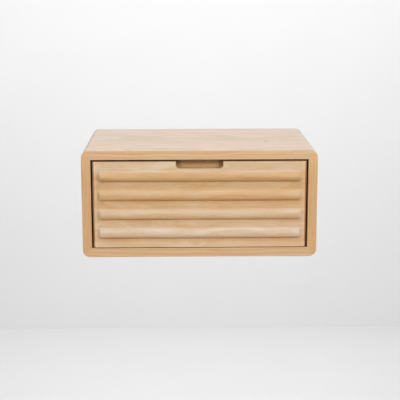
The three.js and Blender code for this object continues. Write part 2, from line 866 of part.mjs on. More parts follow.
// The rubber stop that the middle member meets when the drawer shuts
function bumper(side) {
  const near = cabinetWeb + slideSheet / 2 + seatGap;
  const height = grown([slideAxisHeight, slideAxisHeight], bumperHeight / 2);
  const width = across(side, near, near + bumperThickness);
  const shape = outline(roundedRectangle(width, height, bumperRadius, edgeSteps));
  return alongY(shape, [slideFrontY + movingLength + runGap, slideBackY]);
}

// Screws along X whose heads are seated at one distance from the case side. Facing is 1 for screws into
// the case and -1 for screws into the drawer.
function slideScrews(label, side, { facing, shares, seat, length }) {
  const turn = side * facing * quarterTurn;
  return slidePlaces(shares).map((y, step) => placed(
    `${label}_${step + 1}`,
    screw(slideScrew, length).rotateZ(turn).translate(side * (innerHalfWidth - seat), y, slideAxisHeight),
    screwSteel,
  ));
}

function slides([name, side]) {
  const intoCase = {
    facing: 1,
    shares: cabinetScrewShares,
    seat: cabinetScrewSeat,
    length: cabinetScrewLength,
  };
  const intoDrawer = {
    facing: -1,
    shares: drawerScrewShares,
    seat: drawerScrewSeat,
    length: drawerScrewLength,
  };
  return [
    placed(`cabinet_slide_${name}`, cabinetSlide(side), zincSteel),
    placed(`middle_slide_${name}`, middleSlide(side), zincSteel),
    placed(`drawer_slide_${name}`, drawerSlide(side), zincSteel),
    placed(`outer_ball_cage_${name}`, ballCage(side, outerCageWeb, outerBall, outerBallHeight), cageSteel),
    placed(`inner_ball_cage_${name}`, ballCage(side, innerCageWeb, innerBall, innerBallHeight), cageSteel),
    placed(`slide_bumper_${name}`, bumper(side), rubber),
    placed(`release_lever_${name}`, releaseLever(side), leverPlastic),
    ...slideScrews(`cabinet_slide_screw_${name}`, side, intoCase),
    ...slideScrews(`drawer_slide_screw_${name}`, side, intoDrawer),
  ];
}

// The whole nightstand, with the middle of the wall rail's back face at the origin
const caseGroup = new THREE.Group();
caseGroup.add(...caseBoards(), ...mitreSplines(), backPanel(), hangingRail(), wallRail(), ...railScrews());
const drawerGroup = new THREE.Group();
drawerGroup.add(drawerFront(), ...drawerBox(), ...frontScrews());
const slideGroup = new THREE.Group();
slideGroup.add(...sides.flatMap(slides));
const nightstand = new THREE.Group();
nightstand.add(caseGroup, drawerGroup, slideGroup);
nightstand.position.z = -wallRailMiddle;

export default nightstand;
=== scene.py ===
import json
import math
import random

import bmesh
import bpy
from mathutils import Matrix, Vector


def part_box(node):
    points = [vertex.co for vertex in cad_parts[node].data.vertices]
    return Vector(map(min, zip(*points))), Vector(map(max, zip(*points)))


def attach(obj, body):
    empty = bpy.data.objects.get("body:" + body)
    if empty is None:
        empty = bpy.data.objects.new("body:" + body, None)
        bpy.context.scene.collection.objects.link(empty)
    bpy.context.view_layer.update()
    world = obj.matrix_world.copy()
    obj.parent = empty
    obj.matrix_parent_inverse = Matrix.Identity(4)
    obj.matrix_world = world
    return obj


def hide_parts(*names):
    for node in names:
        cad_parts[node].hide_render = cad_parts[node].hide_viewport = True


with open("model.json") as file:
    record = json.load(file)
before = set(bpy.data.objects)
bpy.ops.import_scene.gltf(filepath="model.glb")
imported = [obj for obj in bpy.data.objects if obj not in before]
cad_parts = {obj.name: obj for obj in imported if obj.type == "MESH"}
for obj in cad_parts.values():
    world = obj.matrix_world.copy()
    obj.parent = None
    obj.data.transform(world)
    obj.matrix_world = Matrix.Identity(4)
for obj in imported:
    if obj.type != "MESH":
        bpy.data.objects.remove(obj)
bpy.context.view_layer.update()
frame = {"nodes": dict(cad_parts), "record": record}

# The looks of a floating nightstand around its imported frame, in metres: +X right, +Y into the wall, +Z up.
MM = 0.001
NODES = frame["nodes"]
BODY_OF = {node: body for body, nodes in frame["record"]["behaviour"]["bodies"].items() for node in nodes}
SLOT_OF = {part["node"]: part["material_slot"] for part in frame["record"]["subparts"]}
SIDES = (("left", -1), ("right", 1))
CASE_BOARDS = ("top_panel", "bottom_panel", "left_side", "right_side")
BOX_BOARDS = ("drawer_box_front", "drawer_box_back", "drawer_left_side", "drawer_right_side")
SMOOTH_SLOTS = ("zinc_steel", "cage_steel", "rubber", "lever_plastic")

# Camera
CAMERA_PLACE = Vector((-0.0360, -2.3596, 0.4478))
CAMERA_YAW = 0.0178
CAMERA_PITCH = math.radians(11.85)
CAMERA_ROLL = -0.0012
CAMERA_LENS = 97.0
CAMERA_SENSOR = 36.0
CAMERA_CLIP = (0.05, 200)


def make_camera():
    data = bpy.data.cameras.new("camera")
    data.lens = CAMERA_LENS
    data.sensor_width = CAMERA_SENSOR
    data.clip_start, data.clip_end = CAMERA_CLIP
    level = math.cos(CAMERA_PITCH)
    forward = Vector((math.sin(CAMERA_YAW) * level, math.cos(CAMERA_YAW) * level, -math.sin(CAMERA_PITCH)))
    right = Vector((math.cos(CAMERA_YAW), -math.sin(CAMERA_YAW), 0))
    up = right.cross(forward)
    turned_right = math.cos(CAMERA_ROLL) * right + math.sin(CAMERA_ROLL) * up
    turned_up = math.cos(CAMERA_ROLL) * up - math.sin(CAMERA_ROLL) * right
    camera = bpy.data.objects.new("camera", data)
    turn = Matrix((turned_right, turned_up, -forward)).transposed().to_4x4()
    camera.matrix_world = Matrix.Translation(CAMERA_PLACE) @ turn
    bpy.context.scene.collection.objects.link(camera)
    bpy.context.scene.camera = camera


# Node trees
def feed(tree, socket, value):
    if isinstance(value, bpy.types.NodeSocket):
        tree.links.new(value, socket)
    else:
        socket.default_value = value


def calculate(tree, operation, *values):
    node = tree.nodes.new("ShaderNodeMath")
    node.operation = operation
    for socket, value in zip(node.inputs, values):
        feed(tree, socket, value)
    return node.outputs[0]


def noise(tree, places, scales, detail=2.0, roughness=0.5):
    """Noise over three places in millimetres, each with its own scale."""
    vector = tree.nodes.new("ShaderNodeCombineXYZ")
    for socket, place, scale in zip(vector.inputs, places, scales):
        feed(tree, socket, calculate(tree, "MULTIPLY", place, scale))
    node = tree.nodes.new("ShaderNodeTexNoise")
    feed(tree, node.inputs["Vector"], vector.outputs[0])
    node.inputs["Scale"].default_value = 1.0
    node.inputs["Detail"].default_value = detail
    node.inputs["Roughness"].default_value = roughness
    return node.outputs["Fac"]


def line_noise(tree, value, detail, roughness):
    node = tree.nodes.new("ShaderNodeTexNoise")
    node.noise_dimensions = "1D"
    feed(tree, node.inputs["W"], value)
    node.inputs["Scale"].default_value = 1.0
    node.inputs["Detail"].default_value = detail
    node.inputs["Roughness"].default_value = roughness
    return node.outputs["Fac"]


def spread(tree, value, low, high, to_low=0.0, to_high=1.0, smooth=True):
    node = tree.nodes.new("ShaderNodeMapRange")
    node.interpolation_type = "SMOOTHSTEP" if smooth else "LINEAR"
    inputs = {"Value": value, "From Min": low, "From Max": high, "To Min": to_low, "To Max": to_high}
    for name, part in inputs.items():
        feed(tree, node.inputs[name], part)
    return node.outputs["Result"]


def mixed(tree, share, first, second, blend="MIX"):
    node = tree.nodes.new("ShaderNodeMix")
    node.data_type = "RGBA"
    node.blend_type = blend
    feed(tree, node.inputs["Factor"], share)
    for socket, value in ((node.inputs[6], first), (node.inputs[7], second)):
        feed(tree, socket, (*value, 1.0) if isinstance(value, tuple) else value)
    return node.outputs[2]


def stained(tree, color, share, tint):
    """The colour with a share of it multiplied by the tint."""
    return mixed(tree, share, color, mixed(tree, 1.0, color, tint, "MULTIPLY"))


def darkened(color, share):
    return tuple(part * share for part in color)


def new_material(name):
    material = bpy.data.materials.new(name)
    material.use_nodes = True
    tree = material.node_tree
    shader = tree.nodes["Principled BSDF"]
    return material, tree, shader


def add_bump(tree, shader, height, strength, distance):
    bump = tree.nodes.new("ShaderNodeBump")
    bump.inputs["Strength"].default_value = strength
    bump.inputs["Distance"].default_value = distance
    feed(tree, bump.inputs["Height"], height)
    tree.links.new(bump.outputs["Normal"], shader.inputs["Normal"])


def object_millimetres(tree):
    place = tree.nodes.new("ShaderNodeTexCoord").outputs["Object"]
    scaled = tree.nodes.new("ShaderNodeVectorMath")
    scaled.operation = "SCALE"
    tree.links.new(place, scaled.inputs[0])
    scaled.inputs["Scale"].default_value = 1 / MM
    parts = tree.nodes.new("ShaderNodeSeparateXYZ")
    tree.links.new(scaled.outputs["Vector"], parts.inputs[0])
    return parts.outputs


# Drawer front sizes
FRONT_LOW, FRONT_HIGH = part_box("drawer_front")
FRONT_THICKNESS = 20 * MM
FRONT_FACE = FRONT_HIGH.y - FRONT_THICKNESS
RIB_RISE = 7 * MM
RIB_EDGE_MARGIN = 18.75 * MM
RIB_HEIGHT = 21 * MM
RIB_PITCH = 37.7 * MM
RIB_COUNT = 4
RIB_END_MARGIN = 8.5 * MM
RIB_HALF_LENGTH = FRONT_HIGH.x - RIB_END_MARGIN
RIB_RADIUS = (RIB_HEIGHT ** 2 / 4 + RIB_RISE ** 2) / (2 * RIB_RISE)
RIB_END_RADIUS = 5.5 * MM
RIB_END_FADE = 8 * MM
RIB_FILLET_ABOVE = 2.2 * MM
RIB_FILLET_BELOW = 0.3 * MM
FRONT_SIDE_ROUND = 6 * MM
FRONT_LEVEL_ROUND = 0.7 * MM
FRONT_ROUND_DEPTH = 8 * MM
FRONT_CORNER_RADIUS = 2 * MM
PULL_WIDTH = 92.5 * MM
PULL_DROP = 14.2 * MM
PULL_CORNER = 7.6 * MM
PULL_LIP = 7 * MM
PULL_DEPTH = 16 * MM
PULL_UNDERCUT = 4 * MM
PULL_END_INSET = 4 * MM
PULL_RIM = 0.8 * MM
BORE_RADIUS = 2.1 * MM

# Places in a material, in millimetres: along each axis, and away from the middle plane
X, Y, Z, ASIDE = 0, 1, 2, 3

# Tints multiply the wood's colour
# Paler wood on some staves; laid on the ribs' crowns it is a painted highlight
FRONT_PALE_AND_HIGHLIGHT = (1.03, 1.17, 1.42)
FOOT_TINT = (1.11, 1.19, 1.28)
UPPER_TINT = (0.96, 0.96, 0.97)
# Painted shade under the upper ribs
PAINTED_UNDER_RIB_SHADE = (0.93, 0.92, 0.88)
STRIP_TINT = (1.08, 1.09, 1.12)
# Painted highlight on the ribs' ends
PAINTED_RIB_END_HIGHLIGHT = (1.07, 1.11, 1.18)
# Painted sheen that makes the top face paler
PAINTED_TOP_SHEEN = (1.19, 1.21, 1.35)
SIDE_PALE = (1.06, 1.13, 1.2)
MOTTLE_PALE = (1.03, 1.08, 1.17)
MOTTLE_WARM = (0.98, 0.92, 0.82)
END_TINT = (0.74, 0.64, 0.52)
# End grain of the drawer front, darkened further as painted shade of the gaps beside it
FRONT_END_GRAIN_AND_GAP_SHADE = (0.60, 0.48, 0.36)
CASE_END_TINT = (0.94, 0.93, 0.93)
# Painted shade in the gaps round the drawer front
PAINTED_GAP_SHADE = (0.74, 0.62, 0.50)
# Painted warm shade on the ribs' lower flanks
PAINTED_FLANK_SHADE = (1.07, 0.83, 0.45)
# Painted highlight on the ribs' upper parts
PAINTED_CREST_HIGHLIGHT = (0.99, 1.02, 1.09)
# Painted shade in the corner under each rib
PAINTED_CREASE_SHADE = (0.66, 0.52, 0.36)
# Painted shade in the finger pull: at its back, its ends and its foot
PAINTED_PULL_SHADE = (0.90, 0.76, 0.57)
PAINTED_PULL_END_SHADE = (0.62, 0.55, 0.46)
PAINTED_PULL_FOOT_SHADE = (0.66, 0.58, 0.50)

# Where a tint goes: its share, the tint, and ranges of an axis in millimetres over which it sets in
PAINTED_TOP_SHEENS = ((1.0, PAINTED_TOP_SHEEN, ((Z, 112.2, 113.1),)),)
SIDE_PALES = ((1.0, SIDE_PALE, ((Z, 55.0, 100.0),)),)
OFF_THE_FIELD = (Y, -300.0, -301.5)
# the ribs' crowns, where a painted highlight goes
UP_THE_RIB = (Y, -300.2, -302.5)
FRONT_PALES = (
    # the strip over the top rib, and the top rib itself
    (1.0, FRONT_PALE_AND_HIGHLIGHT, ((Z, 70.5, 73.0),)),
    (1.0, UPPER_TINT, ((Z, 37.0, 42.0), (Z, 76.0, 74.0))),
    # painted shade on the top rib's lower flank and in the valley below it
    (1.0, PAINTED_UNDER_RIB_SHADE, ((Z, 63.0, 59.5), (Z, 54.0, 57.0))),
    (0.6, PAINTED_UNDER_RIB_SHADE, ((Z, 37.0, 41.0), (Z, 51.0, 48.0))),
    # the strips beyond the ribs, a painted highlight on the ribs' ends, and the strip at the left
    (1.0, STRIP_TINT, ((ASIDE, 199.5, 202.0),)),
    (1.0, PAINTED_RIB_END_HIGHLIGHT, ((ASIDE, 194.0, 197.0), OFF_THE_FIELD, (Z, -30.0, -20.0))),
    (0.8, PAINTED_RIB_END_HIGHLIGHT, ((X, 195.5, 198.5), OFF_THE_FIELD)),
    (0.5, FRONT_PALE_AND_HIGHLIGHT, ((X, -199.5, -202.0), (Z, 60.0, 50.0), (Z, -30.0, -20.0))),
    # the lower half, and a painted highlight on the crowns of its ribs
    (0.3, FRONT_PALE_AND_HIGHLIGHT, ((Z, 12.0, 8.0),)),
    (0.35, FRONT_PALE_AND_HIGHLIGHT, ((Z, 45.0, 35.0), UP_THE_RIB)),
    (0.5, FRONT_PALE_AND_HIGHLIGHT, ((Z, 12.0, 8.0), UP_THE_RIB)),
    # the lowest rib, the valley above it and the strip at the foot, with a painted highlight on the lowest
    # rib's crown
    (0.2, FRONT_PALE_AND_HIGHLIGHT, ((Z, -26.0, -33.0),)),
    (0.28, FRONT_PALE_AND_HIGHLIGHT, ((Z, -22.0, -28.0), (Z, -45.0, -39.0))),
    (0.3, FRONT_PALE_AND_HIGHLIGHT, ((Z, -26.0, -33.0), UP_THE_RIB)),
    (1.0, FOOT_TINT, ((Z, -65.0, -70.0),)),
    # painted shade of the gaps on the rounded edges at the ends and along the top, and on the faces behind
    # them
    (0.8, PAINTED_GAP_SHADE, ((Y, -299.4, -297.0), (ASIDE, 47.5, 48.0))),
    (0.8, PAINTED_GAP_SHADE, ((Y, -299.7, -298.4), (Z, 91.4, 91.8))),
)

# Painted shade under the ribs and in the pull, and a painted highlight on the ribs, in millimetres: each sets
# in over each pair of places or steps.
# The spare pitches keep what is divided by the pitch above zero.
FLANK_REACH = 7.0
CREASE_REACH_BELOW = 2.4
CREASE_REACH_ABOVE = 1.0
CREASE_SHARES = (0.55, 0.70)
CREASE_SHARE_HEIGHTS = (10, 46)
CREASE_ENDS = (-11, -4)
CARVED_TOP = (74, 76)
CREST_RISES = (11, 17)
CREST_FALLS = (24, 21)
SPARE_PITCHES = 20
HOLLOW_ASIDE = (0, 0.5)
HOLLOW_BELOW_FLOOR = (-6, -5)
HOLLOW_INWARD = (0.5, 6)
HOLLOW_ENDS = (-13, -3)
HOLLOW_FOOT = (1.8, 0.2)
FRONT_CREASES = {"first": FRONT_LOW.z / MM + RIB_EDGE_MARGIN / MM, "pitch": RIB_PITCH / MM,
                 "half_length": RIB_HALF_LENGTH / MM}
FRONT_HOLLOW = {"half_width": PULL_WIDTH / MM / 2, "floor": (FRONT_HIGH.z - PULL_DROP) / MM,
                "face": FRONT_FACE / MM}


def beside(base, steps):
    """Two positions at the given steps from a base."""
    return base + steps[0], base + steps[1]


def crease_shade_and_crest_highlight(tree, color, places, first, pitch, half_length):
    """Painted shade in the corner under each rib, a painted highlight on each rib's upper part and painted
    warm shade on its lower flank.
    """
    top = calculate(tree, "SUBTRACT", first + SPARE_PITCHES * pitch, places[Z])
    below = calculate(tree, "MODULO", top, pitch)
    above = calculate(tree, "SUBTRACT", pitch, below)
    carved = calculate(tree, "MULTIPLY",
                       spread(tree, places[ASIDE], *beside(half_length, CREASE_ENDS), 1.0, 0.0),
                       spread(tree, places[Z], *CARVED_TOP, 1.0, 0.0))
    # painted warm shade on each rib's lower flank
    flank_shade = calculate(tree, "EXPONENT", calculate(tree, "DIVIDE", above, -FLANK_REACH))
    color = stained(tree, color, calculate(tree, "MULTIPLY", flank_shade, carved), PAINTED_FLANK_SHADE)
    # painted highlight on the upper part of each rib
    crest_highlight = calculate(tree, "MULTIPLY", spread(tree, above, *CREST_RISES), spread(tree, above, *CREST_FALLS))
    color = stained(tree, color, calculate(tree, "MULTIPLY", crest_highlight, carved), PAINTED_CREST_HIGHLIGHT)
    # painted shade in the corner under each rib
    fading = calculate(tree, "EXPONENT", calculate(tree, "DIVIDE", below, -CREASE_REACH_BELOW))
    rising = calculate(tree, "EXPONENT", calculate(tree, "DIVIDE", above, -CREASE_REACH_ABOVE))
    corner = calculate(tree, "MULTIPLY", calculate(tree, "MAXIMUM", fading, rising), carved)
    upper = spread(tree, places[Z], *CREASE_SHARE_HEIGHTS, *CREASE_SHARES)
    return stained(tree, color, calculate(tree, "MULTIPLY", corner, upper), PAINTED_CREASE_SHADE)


def pull_shade(tree, color, places, half_width, floor, face):
    """The routed faces of the finger pull, with painted shade at the back, at the ends and along the foot."""
    aside = spread(tree, places[ASIDE], *beside(half_width, HOLLOW_ASIDE), 1.0, 0.0)
    inside = calculate(tree, "MULTIPLY", aside, spread(tree, places[Z], *beside(floor, HOLLOW_BELOW_FLOOR)))
    deep = calculate(tree, "MULTIPLY", inside, spread(tree, places[Y], *beside(face, HOLLOW_INWARD)))
    color = stained(tree, color, deep, PAINTED_PULL_SHADE)
    ends = calculate(tree, "MULTIPLY", deep, spread(tree, places[ASIDE], *beside(half_width, HOLLOW_ENDS)))
    color = stained(tree, color, ends, PAINTED_PULL_END_SHADE)
    foot_shade = calculate(tree, "MULTIPLY", deep, spread(tree, places[Z], *beside(floor, HOLLOW_FOOT)))
    return stained(tree, color, foot_shade, PAINTED_PULL_FOOT_SHADE)


# Wood: growth rings round a pith that runs along the grain, in boards glued up from staves.
# Lengths are in millimetres; scales go along the grain, across the board's face and into it. The offset
# keeps the staves' numbers above zero, and each stave is drawn from its own place along the log.
GRAIN_AXES = {"X": (X, Y, Z), "Y": (Y, Z, X), "Z": (Z, Y, X), "FRONT": (X, Z, Y)}
WARP_SCALE = (0.0045, 0.016, 0.02)
FIBRE_SCALE = (0.011, 0.75, 0.75)
PORE_SCALE = (0.11, 2.3, 2.3)
BROAD_SCALE = (0.0055, 0.034, 0.034)
PATCH_SCALE = (0.014, 0.07, 0.07)
RING_SCALE = 0.21
STAVE_OFFSET = 1000.0
SEED_STEP = 7.31
STAVE_ALONG = 2400.0
PITH_ASIDE = (46.0, -23.0)
PITH_DEPTH = (40.0, 26.0)
WARP_REACH = 34.0
KNOT_REACH = 11.0
KNOT_HEART = (0.72, 0.96)
RING_RANGE = (0.3, 0.72)
FIBRE_RANGE = (0.3, 0.7)
FIBRE_SHARE = 0.34
PORE_RANGE = (0.62, 0.74)
PORE_SHARE = 0.35
PORE_DARKNESS = 0.45
KNOT_DARKNESS = 0.5
BLUSH_CHANCE = 0.5
BLUSH_RANGE = (0.45, 0.95)
PATCH_PALE = (0.5, 0.68)
PATCH_WARM = (0.5, 0.32)
PORE_ROUGHNESS = 0.16
FIBRE_ROUGHNESS = 0.12
FIBRE_RELIEF = 0.5
RING_RELIEF = 0.25
WOOD_BUMP = (0.22, 0.00012)
END_NORMAL = (0.32, 0.68)
END_FADE = (0, 1)


def stave_of(tree, wide, stave, seed):
    """How far a point is from the middle of its stave, and three random shares that the stave drew."""
    shifted = calculate(tree, "ADD", wide, STAVE_OFFSET)
    number = calculate(tree, "FLOOR", calculate(tree, "DIVIDE", shifted, stave))
    chance = tree.nodes.new("ShaderNodeTexWhiteNoise")
    chance.noise_dimensions = "1D"
    feed(tree, chance.inputs["W"], calculate(tree, "ADD", number, seed * SEED_STEP))
    draws = tree.nodes.new("ShaderNodeSeparateColor")
    tree.links.new(chance.outputs["Color"], draws.inputs[0])
    within = calculate(tree, "SUBTRACT", calculate(tree, "MODULO", shifted, stave), stave / 2)
    return within, *draws.outputs


def pith_distance(tree, within, deep, warp, draw_aside, draw_depth):
    """The radius of the growth ring through a point, bent by the warp."""
    aside = calculate(tree, "SUBTRACT", within, calculate(tree, "MULTIPLY_ADD", draw_aside, *PITH_ASIDE))
    depth = calculate(tree, "ADD", deep, calculate(tree, "MULTIPLY_ADD", draw_depth, *PITH_DEPTH))
    squares = [calculate(tree, "POWER", part, 2.0) for part in (aside, depth)]
    radius = calculate(tree, "SQRT", calculate(tree, "ADD", *squares))
    return calculate(tree, "MULTIPLY_ADD", warp, WARP_REACH, radius)


def knot_at(tree, along, wide, knot_along, knot_wide, length, width):
    """A share that is one in the knot's middle and fades over its length and width."""
    squares = []
    for place, middle, size in ((along, knot_along, length), (wide, knot_wide, width)):
        away = calculate(tree, "DIVIDE", calculate(tree, "SUBTRACT", place, middle), size)
        squares.append(calculate(tree, "POWER", away, 2.0))
    return calculate(tree, "EXPONENT", calculate(tree, "MULTIPLY", calculate(tree, "ADD", *squares), -1.0))


def end_share(tree, grain_axis, places, beyond):
    """How squarely the surface cuts across the grain, beyond a distance from the middle."""
    normal = tree.nodes.new("ShaderNodeTexCoord").outputs["Normal"]
    parts = tree.nodes.new("ShaderNodeSeparateXYZ")
    tree.links.new(normal, parts.inputs[0])
    across = spread(tree, calculate(tree, "ABSOLUTE", parts.outputs[grain_axis]), *END_NORMAL)
    if not beyond:
        return across
    return calculate(tree, "MULTIPLY", across, spread(tree, places[ASIDE], *beside(beyond, END_FADE)))


def wood_material(name, grain, seed, light, dark, stave, blush=None, rings=0.5, tone=0.5, mottled=0.5,
                  rough=0.46, spec=0.5, coat=0.12, coat_rough=0.32, knots=(), knot_tone=0.75,
                  pales=(), ends=END_TINT, ends_beyond=0, crease_shading=None, pull_shading=None):
    material, tree, shader = new_material(name)
    axes = object_millimetres(tree)
    places = (*axes, calculate(tree, "ABSOLUTE", axes[X]))
    along, wide, deep = (axes[axis] for axis in GRAIN_AXES[grain])
    within, draw_a, draw_b, draw_c = stave_of(tree, wide, stave, seed)
    grained = (calculate(tree, "MULTIPLY_ADD", draw_a, STAVE_ALONG, along), wide, deep)
    radius = pith_distance(tree, within, deep, noise(tree, grained, WARP_SCALE), draw_b, draw_c)
    knot_share = None
    for knot in knots:
        share = knot_at(tree, along, wide, *knot)
        radius = calculate(tree, "MULTIPLY_ADD", share, KNOT_REACH, radius)
        knot_share = share if knot_share is None else calculate(tree, "MAXIMUM", knot_share, share)
    ring = line_noise(tree, calculate(tree, "MULTIPLY", radius, RING_SCALE), detail=3.0, roughness=0.62)
    ring = spread(tree, ring, *RING_RANGE)
    fibre = noise(tree, grained, FIBRE_SCALE, detail=4.0, roughness=0.62)
    pore = spread(tree, noise(tree, grained, PORE_SCALE, detail=1.0), *PORE_RANGE)

    shade = calculate(tree, "MULTIPLY", ring, rings)
    shade = calculate(tree, "MULTIPLY_ADD", spread(tree, fibre, *FIBRE_RANGE), FIBRE_SHARE, shade)
    shade = calculate(tree, "MULTIPLY_ADD", calculate(tree, "SUBTRACT", draw_b, 0.5), tone, shade)
    color = mixed(tree, spread(tree, shade, 0.0, 1.0, smooth=False), light, dark)
    if blush:
        broad = noise(tree, grained, BROAD_SCALE)
        area = spread(tree, calculate(tree, "MULTIPLY_ADD", draw_c, BLUSH_CHANCE, broad), *BLUSH_RANGE)
        color = stained(tree, color, area, blush)
    patch = noise(tree, grained, PATCH_SCALE, detail=3.0)
    for patch_range, tint in ((PATCH_PALE, MOTTLE_PALE), (PATCH_WARM, MOTTLE_WARM)):
        area = calculate(tree, "MULTIPLY", spread(tree, patch, *patch_range), mottled)
        color = stained(tree, color, area, tint)
    for share, tint, ranges in pales:
        for axis, low, high in ranges:
            share = calculate(tree, "MULTIPLY", spread(tree, places[axis], low, high), share)
        color = stained(tree, color, share, tint)
    # darker end grain; on the drawer front this also paints shade in the gaps beside its ends
    color = stained(tree, color, end_share(tree, GRAIN_AXES[grain][0], places, ends_beyond), ends)
    if crease_shading:
        color = crease_shade_and_crest_highlight(tree, color, places, **crease_shading)
    if pull_shading:
        color = pull_shade(tree, color, places, **pull_shading)
    color = mixed(tree, calculate(tree, "MULTIPLY", pore, PORE_SHARE), color, darkened(dark, PORE_DARKNESS))
    if knots:
        heart = calculate(tree, "MULTIPLY", spread(tree, knot_share, *KNOT_HEART), knot_tone)
        color = mixed(tree, heart, color, darkened(dark, KNOT_DARKNESS))
    feed(tree, shader.inputs["Base Color"], color)

    worn = calculate(tree, "MULTIPLY_ADD", fibre, FIBRE_ROUGHNESS, rough - FIBRE_ROUGHNESS / 2)
    feed(tree, shader.inputs["Roughness"], calculate(tree, "MULTIPLY_ADD", pore, PORE_ROUGHNESS, worn))
    shader.inputs["Specular IOR Level"].default_value = spec
    shader.inputs["Coat Weight"].default_value = coat
    shader.inputs["Coat Roughness"].default_value = coat_rough
    height = calculate(tree, "SUBTRACT", calculate(tree, "MULTIPLY", fibre, FIBRE_RELIEF), pore)
    add_bump(tree, shader, calculate(tree, "MULTIPLY_ADD", ring, RING_RELIEF, height), *WOOD_BUMP)
    return material


# Steel with drawn lines and clouded plating, and moulded plastic and rubber with dust
STREAK_SCALE = (3.0, 0.02, 3.0)
SPECK_SCALE = (3.0, 1.5, 3.0)
CLOUD_SCALE = (0.16, 0.09, 0.16)
CLOUD_RANGE = (0.3, 0.7)
CLOUD_DARKNESS = 2
CLOUD_ROUGHNESS = 0.2
LINE_ROUGHNESS = 0.14
STEEL_SHEEN = 0.16
STEEL_BUMP = (0.16, 0.00005)
DUST_SCALE = (0.2, 0.2, 0.2)
DUST_RANGE = (0.45, 0.8)
DUST_GAIN = 1.7
DUST_LIFT = 0.01
MOULDED_ROUGHNESS = 0.2
MOULDED_BUMP_DEPTH = 0.0001


def steel_material(name, color, rough, cloud=0.12, streak=True):
    material, tree, shader = new_material(name)
    places = object_millimetres(tree)
    lines = noise(tree, places, STREAK_SCALE if streak else SPECK_SCALE, detail=3.0, roughness=0.6)
    clouds = noise(tree, places, CLOUD_SCALE, detail=4.0, roughness=0.6)
    darker = darkened(color, 1 - cloud * CLOUD_DARKNESS)
    feed(tree, shader.inputs["Base Color"], mixed(tree, spread(tree, clouds, *CLOUD_RANGE), color, darker))
    drawn = calculate(tree, "MULTIPLY_ADD", lines, LINE_ROUGHNESS, rough - STEEL_SHEEN)
    feed(tree, shader.inputs["Roughness"], calculate(tree, "MULTIPLY_ADD", clouds, CLOUD_ROUGHNESS, drawn))
    shader.inputs["Metallic"].default_value = 1.0
    add_bump(tree, shader, lines, *STEEL_BUMP)
    return material


def moulded_material(name, color, rough, grain_scale, bump):
    material, tree, shader = new_material(name)
    places = object_millimetres(tree)
    fine = noise(tree, places, (grain_scale,) * 3, detail=3.0, roughness=0.6)
    dust = noise(tree, places, DUST_SCALE)
    paler = tuple(part * DUST_GAIN + DUST_LIFT for part in color)
    feed(tree, shader.inputs["Base Color"], mixed(tree, spread(tree, dust, *DUST_RANGE), color, paler))
    grained = calculate(tree, "MULTIPLY_ADD", fine, MOULDED_ROUGHNESS, rough - MOULDED_ROUGHNESS / 2)
    feed(tree, shader.inputs["Roughness"], grained)
    add_bump(tree, shader, fine, bump, MOULDED_BUMP_DEPTH)
    return material


# Pairs of linear colours between which a wood's figure goes, from light to dark
CASE_WOOD = ((0.79, 0.535, 0.30), (0.62, 0.375, 0.175))
LEFT_WOOD = ((0.73, 0.458, 0.231), (0.575, 0.324, 0.134))
RIGHT_WOOD = ((0.78, 0.50, 0.245), (0.617, 0.354, 0.142))
FRONT_WOOD = ((0.76, 0.507, 0.272), (0.62, 0.367, 0.159))
BOX_WOOD = ((0.76, 0.60, 0.41), (0.62, 0.44, 0.26))
RAIL_WOOD = ((0.62, 0.44, 0.26), (0.45, 0.29, 0.15))
PLYWOOD = ((0.70, 0.53, 0.34), (0.55, 0.37, 0.21))
SPLINE_WOOD = ((0.55, 0.36, 0.20), (0.40, 0.24, 0.12))
BLUSH = (1.0, 0.94, 0.95)

# A stave wider than the board shows no joint
UNJOINTED = 900
CASE_FINISH = {"stave": 75, "blush": BLUSH, "ends": CASE_END_TINT}
TOP_FINISH = {**CASE_FINISH, "rough": 0.6, "spec": 0.25, "coat": 0.85, "coat_rough": 0.2}
FRONT_FINISH = {"stave": 86, "blush": BLUSH, "rings": 0.55, "tone": 0.2, "mottled": 1.0, "coat": 0.32,
                "ends": FRONT_END_GRAIN_AND_GAP_SHADE, "ends_beyond": 202}
BOX_FINISH = {"stave": 70, "coat": 0.05}
DRAWER_PLY_FINISH = {"stave": UNJOINTED, "rings": 0.7, "coat": 0.05}
BACK_PLY_FINISH = {"stave": UNJOINTED, "rings": 0.7, "coat": 0.0, "rough": 0.6}
RAIL_FINISH = {"stave": UNJOINTED, "coat": 0.0, "rough": 0.65}
SPLINE_FINISH = {"stave": UNJOINTED, "coat": 0.0, "rough": 0.6}

# Knots: the middle along and across the grain, the length and the width, in millimetres
TOP_KNOTS = ((138.0, -181.0, 12.0, 11.0),)
FRONT_KNOTS = ((-12.0, 45.5, 26.0, 7.0), (-8.0, -71.7, 15.0, 6.5))
FRONT_KNOT_TONE = 0.17

